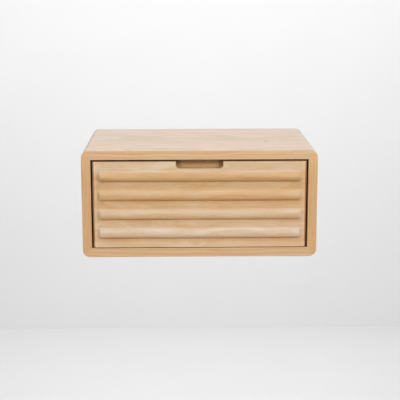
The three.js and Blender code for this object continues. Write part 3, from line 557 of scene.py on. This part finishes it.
# Name, grain, seed, colours and finish of the wood of each node
WOODS = {
    "top_panel": ("top_wood", "X", 1, CASE_WOOD, {**TOP_FINISH, "knots": TOP_KNOTS, "pales": PAINTED_TOP_SHEENS}),
    "bottom_panel": ("bottom_wood", "X", 2, CASE_WOOD, CASE_FINISH),
    "left_side": ("left_side_wood", "Z", 3, LEFT_WOOD, {**CASE_FINISH, "pales": SIDE_PALES}),
    "right_side": ("right_side_wood", "Z", 4, RIGHT_WOOD, {**CASE_FINISH, "pales": SIDE_PALES}),
    "drawer_front": ("front_wood", "FRONT", 5, FRONT_WOOD, {
        **FRONT_FINISH, "knots": FRONT_KNOTS, "knot_tone": FRONT_KNOT_TONE, "pales": FRONT_PALES,
        "crease_shading": FRONT_CREASES, "pull_shading": FRONT_HOLLOW}),
    "drawer_box_front": ("box_front_wood", "FRONT", 6, BOX_WOOD, BOX_FINISH),
    "drawer_box_back": ("box_back_wood", "FRONT", 7, BOX_WOOD, BOX_FINISH),
    "drawer_left_side": ("box_left_wood", "Y", 8, BOX_WOOD, BOX_FINISH),
    "drawer_right_side": ("box_right_wood", "Y", 9, BOX_WOOD, BOX_FINISH),
    "drawer_bottom": ("drawer_ply", "X", 10, PLYWOOD, DRAWER_PLY_FINISH),
    "back_panel": ("back_ply", "FRONT", 11, PLYWOOD, BACK_PLY_FINISH),
    "hanging_rail": ("hanging_rail_wood", "FRONT", 12, RAIL_WOOD, RAIL_FINISH),
    "wall_rail": ("wall_rail_wood", "FRONT", 13, RAIL_WOOD, RAIL_FINISH),
}


def make_materials():
    """The material of every node: its own wood, or else the one that its slot asks for."""
    made = {node: wood_material(name, grain, seed, *colors, **finish)
            for node, (name, grain, seed, colors, finish) in WOODS.items()}
    by_slot = {
        "spline_wood": wood_material("spline_wood", "Y", 14, *SPLINE_WOOD, **SPLINE_FINISH),
        "zinc_steel": steel_material("zinc_steel", (0.66, 0.68, 0.70), rough=0.38),
        "cage_steel": steel_material("cage_steel", (0.72, 0.73, 0.74), rough=0.26, cloud=0.05),
        "screw_steel": steel_material("screw_steel", (0.60, 0.61, 0.63), rough=0.32, streak=False),
        "rubber": moulded_material("rubber", (0.021, 0.022, 0.023), rough=0.82, grain_scale=4.0, bump=0.3),
        "lever_plastic": moulded_material("lever_plastic", (0.013, 0.013, 0.014), rough=0.5, grain_scale=7.0,
                                          bump=0.12),
    }
    return {node: made.get(node) or by_slot[SLOT_OF[node]] for node in SLOT_OF}


# Meshes
SMOOTH_ANGLE = math.radians(32)
NORMAL_WEIGHT = 80
WELD_DISTANCE = 1e-6
FLAT_ANGLE = math.radians(0.1)
EASED_ANGLE = math.radians(60)
EASED_SEGMENTS = 3


def add_piece(name, mesh, node_name, material):
    piece = bpy.data.objects.new(name, mesh)
    bpy.context.scene.collection.objects.link(piece)
    mesh.materials.clear()
    mesh.materials.append(material)
    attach(piece, BODY_OF[node_name])
    return piece


def smooth(mesh, angle=SMOOTH_ANGLE):
    mesh.shade_smooth()
    mesh.set_sharp_from_angle(angle=angle)


def weigh_normals(piece):
    weighted = piece.modifiers.new("weighted", "WEIGHTED_NORMAL")
    weighted.keep_sharp = True
    weighted.weight = NORMAL_WEIGHT


def refined_copy(name, node_name, material, refine=None):
    """The CAD piece welded and smoothly shaded, after the given work on its edges."""
    mesh = NODES[node_name].data.copy()
    mesh.name = name
    work = bmesh.new()
    work.from_mesh(mesh)
    bmesh.ops.remove_doubles(work, verts=work.verts, dist=WELD_DISTANCE)
    if refine:
        refine(work)
    work.to_mesh(mesh)
    work.free()
    smooth(mesh)
    piece = add_piece(name, mesh, node_name, material)
    weigh_normals(piece)
    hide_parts(node_name)


def eased_copy(node_name, material, width, chosen):
    """The CAD piece with only the chosen edges rounded over."""
    def ease(work):
        bmesh.ops.dissolve_limit(work, angle_limit=FLAT_ANGLE, verts=work.verts, edges=work.edges)
        edges = [edge for edge in work.edges if edge.calc_face_angle(0) > EASED_ANGLE
                 and chosen(edge.verts[0].co, edge.verts[1].co)]
        bmesh.ops.bevel(work, geom=edges, offset=width, offset_type="OFFSET", segments=EASED_SEGMENTS,
                        profile=0.5, affect="EDGES", clamp_overlap=True)

    refined_copy(f"{node_name}_eased", node_name, material, ease)


def faced_outward(name, points, faces):
    """A closed mesh whose faces all look outward."""
    mesh = bpy.data.meshes.new(name)
    mesh.from_pydata(points, [], faces)
    work = bmesh.new()
    work.from_mesh(mesh)
    bmesh.ops.recalc_face_normals(work, faces=work.faces)
    work.to_mesh(mesh)
    work.free()
    return mesh


def lofted(name, rings):
    """A closed mesh through rings of points with equal counts, with flat ends."""
    count = len(rings[0])
    points = [point for ring in rings for point in ring]
    faces = [list(range(count))[::-1], [(len(rings) - 1) * count + step for step in range(count)]]
    for ring in range(len(rings) - 1):
        for step in range(count):
            here, there = ring * count + step, ring * count + (step + 1) % count
            faces.append([here, there, there + count, here + count])
    return faced_outward(name, points, faces)


def rounded_rectangle(low_x, high_x, low_z, high_z, radius, steps):
    corners = ((high_x - radius, high_z - radius, 0), (low_x + radius, high_z - radius, 1),
               (low_x + radius, low_z + radius, 2), (high_x - radius, low_z + radius, 3))
    return [
        (x + radius * math.cos(math.pi / 2 * (quarter + step / steps)),
         z + radius * math.sin(math.pi / 2 * (quarter + step / steps)))
        for x, z, quarter in corners for step in range(steps + 1)
    ]


def combined(mesh, others, operation):
    base = bpy.data.objects.new("base", mesh)
    bpy.context.scene.collection.objects.link(base)
    tools = []
    for other in others:
        tool = bpy.data.objects.new("tool", other)
        bpy.context.scene.collection.objects.link(tool)
        tools.append(tool)
        step = base.modifiers.new("step", "BOOLEAN")
        step.operation = operation
        step.solver = "EXACT"
        step.object = tool
    bpy.context.view_layer.update()
    graph = bpy.context.evaluated_depsgraph_get()
    made = bpy.data.meshes.new_from_object(base.evaluated_get(graph))
    for extra in (base, *tools):
        bpy.data.objects.remove(extra)
    return made


# Drawer front: a carved block, cut to the board's rounded envelope, less the finger pull and the bores
BLOCK_MARGIN = 6 * MM
FLANK_SLOPE = 2
FADE_STEPS = 24
FADE_START = 1.05
FADE_SPAN = 1.15
MIDDLE_STEPS = 6
MIDDLE_SHARE = 0.95
CROWN_STEPS = 18
FILLET_SHARES = (0.15, 0.3, 0.5, 0.75, 1.0)
CORNER_STEPS = 8
ROUND_STEPS = 8
ROUND_OVERLAP = 0.00001
ENVELOPE_REACH = 12 * MM
PULL_CORNER_STEPS = 10
PULL_RIM_STEPS = 5
PULL_STEPS = 12
PULL_REACH = 8 * MM
FRONT_SCREW_COUNT = 4
BORE_SIDES = 24
BORE_BEFORE = 0.2 * MM
BORE_BEYOND = 5 * MM
FIELD_TOLERANCE = 0.02 * MM
CARVED_SMOOTH_ANGLE = math.radians(38)


def soft_maximum(first, second, blend):
    lap = max(blend - abs(first - second), 0)
    return max(first, second) + lap * lap / (4 * blend)


def rib_height_at(x, offset):
    """How far the carved face stands proud, offset from the nearest rib's middle line."""
    share = min((RIB_HALF_LENGTH - abs(x)) / RIB_END_FADE, 1)
    if share <= 0:
        return 0
    bend = share * share * (3 - 2 * share)
    half = RIB_HEIGHT / 2 - RIB_END_RADIUS * (1 - math.sqrt(1 - (1 - share) ** 2))
    scaled = abs(offset) / half * RIB_HEIGHT / 2
    beyond = max(scaled - RIB_HEIGHT / 2, 0)
    arc = math.sqrt(RIB_RADIUS ** 2 - min(scaled, RIB_HEIGHT / 2) ** 2)
    crown = arc - (RIB_RADIUS - RIB_RISE) - FLANK_SLOPE * beyond
    fillet = RIB_FILLET_ABOVE if offset > 0 else RIB_FILLET_BELOW
    return soft_maximum(crown * bend, 0, fillet * bend)


def carved_block():
    """A block with the ribs on its face, larger than the board all round."""
    ends = [RIB_HALF_LENGTH - RIB_END_FADE * FADE_START + RIB_END_FADE * FADE_SPAN * step / FADE_STEPS
            for step in range(FADE_STEPS + 1)]
    middle = [RIB_HALF_LENGTH * step / MIDDLE_STEPS * MIDDLE_SHARE for step in range(1, MIDDLE_STEPS + 1)]
    half_columns = {*ends, *middle, FRONT_HIGH.x + BLOCK_MARGIN}
    columns = sorted({0.0, *half_columns, *(-x for x in half_columns)})
    half_rows = [RIB_HEIGHT / 2 * math.sin(math.pi / 2 * step / CROWN_STEPS)
                 for step in range(CROWN_STEPS + 1)]
    half_rows += [RIB_HEIGHT / 2 + RIB_FILLET_ABOVE * share for share in FILLET_SHARES]
    ribs = [FRONT_LOW.z + RIB_EDGE_MARGIN + RIB_HEIGHT / 2 + step * RIB_PITCH for step in range(RIB_COUNT)]
    rows = sorted({FRONT_LOW.z - BLOCK_MARGIN, FRONT_HIGH.z + BLOCK_MARGIN,
                   *(rib + side * step for rib in ribs for step in half_rows for side in (-1, 1))})
    points, faces = [], []
    for z in rows:
        nearest = min(ribs, key=lambda rib: abs(z - rib))
        points += [(x, FRONT_FACE - rib_height_at(x, z - nearest), z) for x in columns]
    width, count = len(columns), len(rows)
    for row in range(count - 1):
        for column in range(width - 1):
            here = row * width + column
            faces.append([here, here + 1, here + width + 1, here + width])
    rim = list(range(width)) + [row * width + width - 1 for row in range(1, count)]
    rim += [(count - 1) * width + step for step in range(width - 2, -1, -1)]
    rim += [row * width for row in range(count - 2, 0, -1)]
    start = len(points)
    points += [(points[index][0], FRONT_HIGH.y + BLOCK_MARGIN, points[index][2]) for index in rim]
    for step, index in enumerate(rim):
        following = (step + 1) % len(rim)
        faces.append([rim[following], index, start + step, start + following])
    faces.append([start + step for step in range(len(rim))])
    return faced_outward("carved_block", points, faces)


def board_envelope():
    """The board with its rounded front edges, carried on past the ribs."""
    def board_ring(share, y):
        side, level = FRONT_SIDE_ROUND * share, FRONT_LEVEL_ROUND * share
        shape = rounded_rectangle(FRONT_LOW.x + side, FRONT_HIGH.x - side, FRONT_LOW.z + level,
                                  FRONT_HIGH.z - level, FRONT_CORNER_RADIUS, CORNER_STEPS)
        return [(x, y, z) for x, z in shape]

    rings = [board_ring(0, FRONT_HIGH.y)]
    for step in range(ROUND_STEPS + 1):
        angle = math.pi / 2 * step / ROUND_STEPS
        y = FRONT_FACE + FRONT_ROUND_DEPTH * (1 - math.sin(angle)) - ROUND_OVERLAP * (step == ROUND_STEPS)
        rings.append(board_ring(1 - math.cos(angle), y))
    rings.append(board_ring(1, FRONT_FACE - ENVELOPE_REACH))
    return lofted("envelope", rings)


def pull_mesh():
    """What the finger pull takes away: a rounded rim, then a scoop that narrows and undercuts its floor."""
    def pull_ring(depth, inset, drop):
        shape = rounded_rectangle(-PULL_WIDTH / 2 + inset, PULL_WIDTH / 2 - inset,
                                  FRONT_HIGH.z - PULL_DROP - drop, FRONT_HIGH.z + PULL_DROP,
                                  PULL_CORNER, PULL_CORNER_STEPS)
        return [(x, FRONT_FACE + depth, z) for x, z in shape]

    rings = [pull_ring(-PULL_REACH, -PULL_RIM, PULL_RIM), pull_ring(0, -PULL_RIM, PULL_RIM)]
    for step in range(1, PULL_RIM_STEPS + 1):
        angle = math.pi / 2 * step / PULL_RIM_STEPS
        out = PULL_RIM * (1 - math.sin(angle))
        rings.append(pull_ring(PULL_RIM * (1 - math.cos(angle)), -out, out))
    for step in range(PULL_STEPS + 1):
        share = step / PULL_STEPS
        depth = PULL_LIP + (PULL_DEPTH - PULL_LIP) * share
        inset = PULL_END_INSET * (1 - math.cos(math.pi / 2 * share))
        rings.append(pull_ring(depth, inset, PULL_UNDERCUT * math.sin(math.pi * share)))
    return lofted("pull", rings)


def bore_meshes():
    """A bore round each screw that holds the front to the drawer box."""
    meshes = []
    for number in range(1, FRONT_SCREW_COUNT + 1):
        low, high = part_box(f"front_screw_{number}")
        x, z = (low.x + high.x) / 2, (low.z + high.z) / 2
        ring = [(x + BORE_RADIUS * math.cos(math.tau * step / BORE_SIDES),
                 z + BORE_RADIUS * math.sin(math.tau * step / BORE_SIDES)) for step in range(BORE_SIDES)]
        rings = [[(a, y, b) for a, b in ring] for y in (low.y - BORE_BEFORE, high.y + BORE_BEYOND)]
        meshes.append(lofted("bore", rings))
    return meshes


def keep_field_flat(mesh):
    """The plain field between the ribs shades flat up to the carved and rounded edges round it."""
    work = bmesh.new()
    work.from_mesh(mesh)
    field = {face for face in work.faces
             if all(abs(corner.co.y - FRONT_FACE) < FIELD_TOLERANCE for corner in face.verts)}
    for edge in work.edges:
        if len(edge.link_faces) == 2 and (edge.link_faces[0] in field) != (edge.link_faces[1] in field):
            edge.smooth = False
    work.to_mesh(mesh)
    work.free()


def make_drawer_front(material):
    board = combined(carved_block(), [board_envelope()], "INTERSECT")
    mesh = combined(board, [pull_mesh(), *bore_meshes()], "DIFFERENCE")
    mesh.name = "drawer_front_carved"
    smooth(mesh, CARVED_SMOOTH_ANGLE)
    keep_field_flat(mesh)
    piece = add_piece("drawer_front_carved", mesh, "drawer_front", material)
    weigh_normals(piece)
    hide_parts("drawer_front")


# Case boards and drawer box: the edges round the case's front and the top edges of the box are eased, and the
# mitre lines stay crisp. The case's front is level with the flat field of the drawer front.
CASE_EASE = 0.8 * MM
BOX_EASE = 1.2 * MM
BOX_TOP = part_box("drawer_left_side")[1].z
PLANE_TOLERANCE = 0.01 * MM
MITRE_TOLERANCE = 0.5 * MM
SHORTEST_MITRE = 10 * MM
SHORTEST_TOP_EDGE = 20 * MM


def on_front(first, second):
    if max(abs(first.y - FRONT_FACE), abs(second.y - FRONT_FACE)) > PLANE_TOLERANCE:
        return False
    run = second - first
    return not (run.length > SHORTEST_MITRE and abs(abs(run.x) - abs(run.z)) < MITRE_TOLERANCE)


def on_box_top(first, second):
    return min(first.z, second.z) > BOX_TOP - PLANE_TOLERANCE and (second - first).length > SHORTEST_TOP_EDGE


# Screws: a pan head with a cross recess over a turned thread
SCREW_SEED = 41
SCREW_SIDES = 24
HEAD_STEPS = 8
HEAD_FULLNESS = (0.8, 0.7)
THREAD_PITCH = 1.7 * MM
THREAD_ROWS = 6
THREAD_CORE = 0.66
THREAD_RIDGE = 0.3
POINT_SHARE = 0.04
RECESS_ARM = 0.5
RECESS_HALF = 0.14
RECESS_DEPTH = 0.62
RECESS_FOOT = 0.55
RECESS_MOUTH = 1.1
WOOD_SCREW = {"head": 4 * MM, "rise": 2.2 * MM, "shank": 1.86 * MM, "tip": 4 * MM}
SLIDE_SCREW = {"head": 3.6 * MM, "rise": 1.6 * MM, "shank": 1.66 * MM, "tip": 3 * MM}
# Shape, length, plain length under the head, and where the head faces: outward and along Y
SCREW_KINDS = {
    "hanging_rail_screw_": (WOOD_SCREW, 16 * MM, 0, (0, -1)),
    "front_screw_": (WOOD_SCREW, 27 * MM, 9 * MM, (0, 1)),
    "cabinet_slide_screw_": (SLIDE_SCREW, 14 * MM, 0, (-1, 0)),
    "drawer_slide_screw_": (SLIDE_SCREW, 11 * MM, 0, (1, 0)),
}


def turned_ring(radii, height):
    """A ring of points at a height, each at its own radius."""
    angles = [math.tau * turn / SCREW_SIDES for turn in range(SCREW_SIDES)]
    return [(radius * math.cos(angle), radius * math.sin(angle), height)
            for radius, angle in zip(radii, angles)]


def thread_radius(turn, depth, outer, fade):
    """The radius at one side of a ring, with a ridge that winds round once in each pitch."""
    phase = (depth / THREAD_PITCH - turn / SCREW_SIDES) % 1
    ridge = max(0, 1 - abs(phase - 0.5) / THREAD_RIDGE)
    return outer * (1 - fade * (1 - THREAD_CORE) * (1 - ridge))


def screw_mesh(name, head, rise, shank, tip, length, plain):
    """Along Z with its head's seat at the origin and its tip below."""
    rings = []
    for step in range(1, HEAD_STEPS + 1):
        angle = math.pi / 2 * step / HEAD_STEPS
        radius = head * math.sin(angle) ** HEAD_FULLNESS[0]
        rings.append(turned_ring([radius] * SCREW_SIDES, rise * math.cos(angle) ** HEAD_FULLNESS[1]))
    rings.append(turned_ring([shank] * SCREW_SIDES, 0))
    rows = round(length / THREAD_PITCH * THREAD_ROWS)
    for row in range(1, rows + 1):
        depth = length * row / rows
        outer = shank * min(1, (length - depth) / tip + POINT_SHARE)
        fade = min(1, max(0, (depth - plain) / THREAD_PITCH))
        radii = [thread_radius(turn, depth, outer, fade) for turn in range(SCREW_SIDES)]
        rings.append(turned_ring(radii, -depth))
    arm, half = head * RECESS_ARM, head * RECESS_HALF
    cross = ((arm, -half), (arm, half), (half, half), (half, arm), (-half, arm), (-half, half),
             (-arm, half), (-arm, -half), (-half, -half), (-half, -arm), (half, -arm), (half, -half))
    recess = lofted("recess", [
        [(x * share, y * share, height) for x, y in cross]
        for share, height in ((RECESS_FOOT, rise * (1 - RECESS_DEPTH)), (RECESS_MOUTH, rise * RECESS_MOUTH))
    ])
    mesh = combined(lofted(name, rings), [recess], "DIFFERENCE")
    mesh.name = name
    smooth(mesh)
    return mesh


def make_screws(materials):
    chance = random.Random(SCREW_SEED)
    made = []
    for prefix, (spec, length, plain, facing) in SCREW_KINDS.items():
        pattern = screw_mesh(f"{prefix}pattern", length=length, plain=plain, **spec)
        for name in [node for node in NODES if node.startswith(prefix)]:
            low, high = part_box(name)
            side = 1 if low.x + high.x > 0 else -1
            axis = Vector((side * facing[0], facing[1], 0))
            middle = (low + high) / 2
            seat = middle + axis * ((spec["rise"] + length) / 2 - spec["rise"])
            mesh = pattern.copy()
            mesh.name = f"{name}_turned"
            spin = Matrix.Rotation(chance.uniform(0, math.tau), 4, "Z")
            turn = axis.to_track_quat("Z", "Y").to_matrix().to_4x4()
            mesh.transform(Matrix.Translation(seat) @ turn @ spin)
            piece = add_piece(f"{name}_turned", mesh, name, materials[name])
            weigh_normals(piece)
            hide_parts(name)
            made.append(name)
        bpy.data.meshes.remove(pattern)
    return made


# Slide balls: bright round balls over the plain ones of the cages
BALL_RADIUS = 1.6 * MM
BALL_PITCH = 18 * MM
BALL_COUNT = 6
BALL_SUBDIVISIONS = 3


def make_balls(material):
    for row in ("outer", "inner"):
        for name, side in SIDES:
            cage = f"{row}_ball_cage_{name}"
            low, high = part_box(cage)
            across = high.x - BALL_RADIUS if side < 0 else low.x + BALL_RADIUS
            work = bmesh.new()
            for step in range(BALL_COUNT):
                along = (low.y + high.y) / 2 + (step - (BALL_COUNT - 1) / 2) * BALL_PITCH
                for height in (low.z + BALL_RADIUS, high.z - BALL_RADIUS):
                    bmesh.ops.create_icosphere(work, subdivisions=BALL_SUBDIVISIONS, radius=BALL_RADIUS,
                                               matrix=Matrix.Translation((across, along, height)))
            mesh = bpy.data.meshes.new(f"{cage}_balls")
            work.to_mesh(mesh)
            work.free()
            mesh.shade_smooth()
            add_piece(f"{cage}_balls", mesh, cage, material)


# Stage: a pale floor and a pale backdrop well behind the object
FLOOR_HEIGHT = -1.425
BACKDROP_Y = 3.2
BACKDROP_HEIGHT = 12
STAGE_HALF = 40.0
STAGE_COLORS = ((0.803, 0.80, 0.802), (0.823, 0.82, 0.818))
STAGE_MOTTLE_SCALE = (0.004, 0.004, 0.004)
STAGE_ROUGHNESS = 0.9
STAGE_SPECULAR = 0.2


def make_stage():
    material, tree, shader = new_material("pale_floor")
    mottle = noise(tree, object_millimetres(tree), STAGE_MOTTLE_SCALE)
    feed(tree, shader.inputs["Base Color"], mixed(tree, mottle, *STAGE_COLORS))
    shader.inputs["Roughness"].default_value = STAGE_ROUGHNESS
    shader.inputs["Specular IOR Level"].default_value = STAGE_SPECULAR
    corner = (BACKDROP_Y, FLOOR_HEIGHT)
    sheets = {
        "floor": ((-STAGE_HALF, FLOOR_HEIGHT), corner),
        "backdrop": (corner, (BACKDROP_Y, FLOOR_HEIGHT + BACKDROP_HEIGHT)),
    }
    for name, (start, end) in sheets.items():
        corners = [(-STAGE_HALF, *start), (STAGE_HALF, *start), (STAGE_HALF, *end), (-STAGE_HALF, *end)]
        mesh = bpy.data.meshes.new(name)
        mesh.from_pydata(corners, [], [[0, 1, 2, 3]])
        mesh.materials.append(material)
        sheet = bpy.data.objects.new(name, mesh)
        bpy.context.scene.collection.objects.link(sheet)


# Lights: two keys at the upper left and right, a soft one overhead, and washes for the backdrop and the floor
SKY_COLOR = (0.96, 0.98, 1.0, 1.0)
SKY_STRENGTH = 0.17
CASE_FRONT = (0, -0.25, 0.0)
# Name, place, target, width, height and power in watts
LIGHTS = (
    ("key_left", (-2.0, -2.85, 2.0), CASE_FRONT, 1.6, 1.3, 60),
    ("key_right", (2.0, -2.85, 2.0), CASE_FRONT, 1.6, 1.3, 82),
    ("overhead", (0, -0.3, 2.2), (0, -0.15, 0.1), 1.2, 1.2, 4.6),
    ("wall_wash", (0, 1.75, 1.35), (0, BACKDROP_Y, -0.5), 6.0, 0.8, 46.5),
    ("floor_wash", (0, 1.5, 0.2), (0, 2.6, FLOOR_HEIGHT), 2.6, 0.5, 7.2),
)


def add_light(name, place, target, width, height, power):
    data = bpy.data.lights.new(name, "AREA")
    data.shape = "RECTANGLE"
    data.size = width
    data.size_y = height
    data.energy = power
    light = bpy.data.objects.new(name, data)
    light.location = place
    light.rotation_mode = "QUATERNION"
    light.rotation_quaternion = (Vector(target) - Vector(place)).to_track_quat("-Z", "Y")
    bpy.context.scene.collection.objects.link(light)


def make_lights():
    world = bpy.data.worlds.new("studio")
    world.use_nodes = True
    background = world.node_tree.nodes["Background"]
    background.inputs["Color"].default_value = SKY_COLOR
    background.inputs["Strength"].default_value = SKY_STRENGTH
    bpy.context.scene.world = world
    for light in LIGHTS:
        add_light(*light)


make_camera()
bpy.context.scene.view_settings.view_transform = "Standard"
MATERIALS = make_materials()
make_stage()
make_lights()
make_drawer_front(MATERIALS["drawer_front"])
done = {"drawer_front"}
for boards, width, chosen in ((CASE_BOARDS, CASE_EASE, on_front), (BOX_BOARDS, BOX_EASE, on_box_top)):
    for board in boards:
        eased_copy(board, MATERIALS[board], width, chosen)
        done.add(board)
done.update(make_screws(MATERIALS))
make_balls(steel_material("ball_steel", (0.80, 0.81, 0.82), rough=0.2, cloud=0.02, streak=False))
for name, node in NODES.items():
    if name not in done:
        if SLOT_OF[name] in SMOOTH_SLOTS:
            refined_copy(f"{name}_fine", name, MATERIALS[name])
        else:
            for slot in node.material_slots:
                slot.material = MATERIALS[name]
